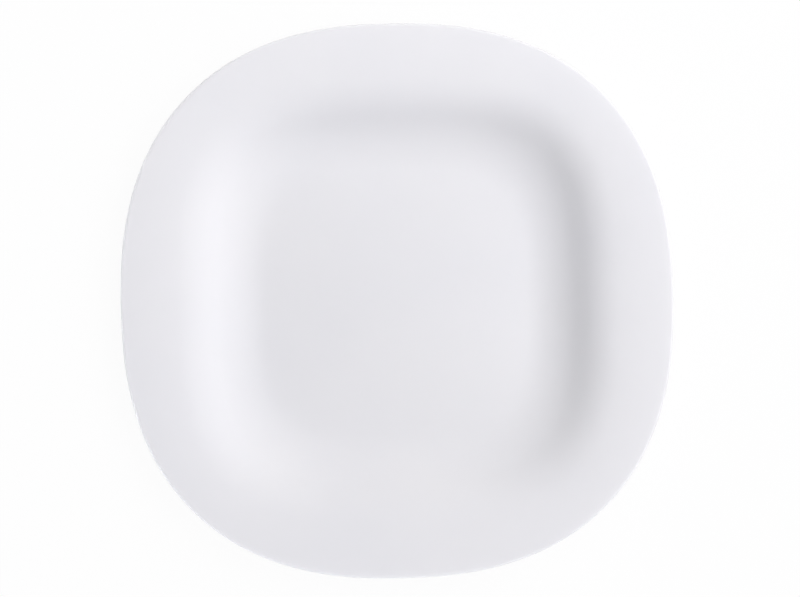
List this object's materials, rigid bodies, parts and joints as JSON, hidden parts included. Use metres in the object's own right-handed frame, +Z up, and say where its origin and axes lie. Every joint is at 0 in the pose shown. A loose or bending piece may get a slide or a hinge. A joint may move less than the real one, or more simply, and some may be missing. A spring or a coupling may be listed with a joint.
{
  "type": "square dinner plate",
  "caption": "Rounded-square dinner plate with a wide rim that curves out of the well and ends level, a soft-cornered well, a slightly crowned floor and a low ring foot, in opaque white glass.",
  "frame": {"origin": "middle of the plane that the foot stands on", "axes": "+Z up out of the well, +X and +Y towards the middles of two sides"},
  "size_m": [0.265, 0.265, 0.02],
  "materials": {
    "opal_glass": "gloss"
  },
  "bodies": {
    "root": {"plate": "opal_glass"}
  },
  "joints": []
}
